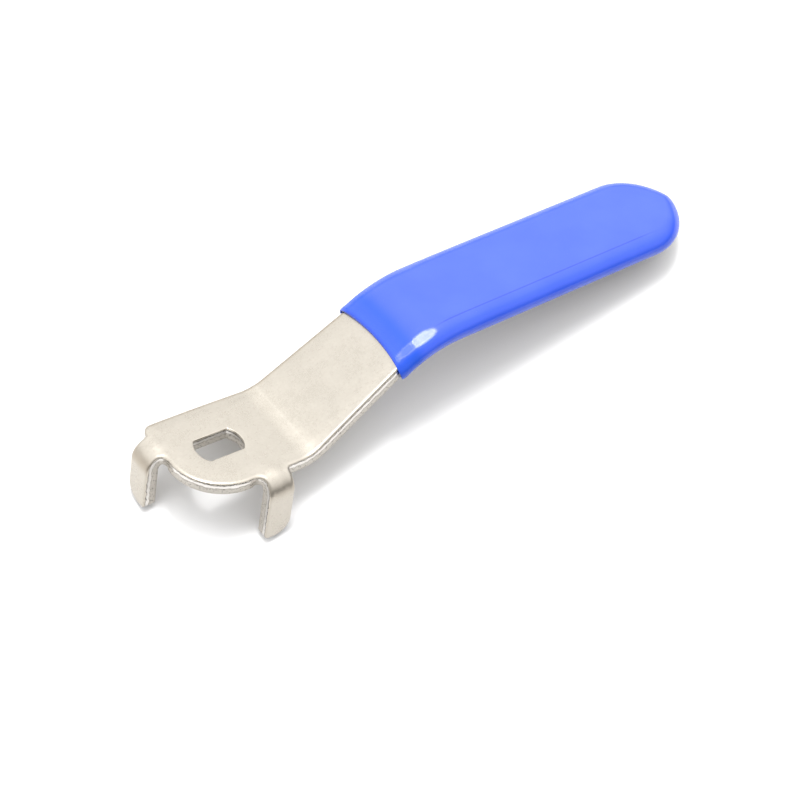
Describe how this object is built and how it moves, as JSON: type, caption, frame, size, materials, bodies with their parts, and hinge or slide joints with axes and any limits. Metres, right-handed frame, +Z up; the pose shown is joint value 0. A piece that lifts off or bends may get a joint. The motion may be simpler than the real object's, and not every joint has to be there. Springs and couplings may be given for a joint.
{
  "type": "ball valve lever handle",
  "caption": "Bent flat steel lever handle with a keyed stem hole, turn stop tabs and a blue vinyl grip sleeve, for a small ball valve.",
  "frame": {"origin": "centre of the stem hole, on the hub's underside", "axes": "+Z up along the valve's stem, +X along the lever from the stem to the grip, +Y across the lever"},
  "size_m": [0.1264, 0.026, 0.0389],
  "materials": {
    "steel": "stamped stainless sheet, satin",
    "vinyl": "dipped vinyl, smooth and glossy"
  },
  "bodies": {
    "root": {"lever_plate": "steel", "grip_sleeve": "vinyl"}
  },
  "joints": []
}
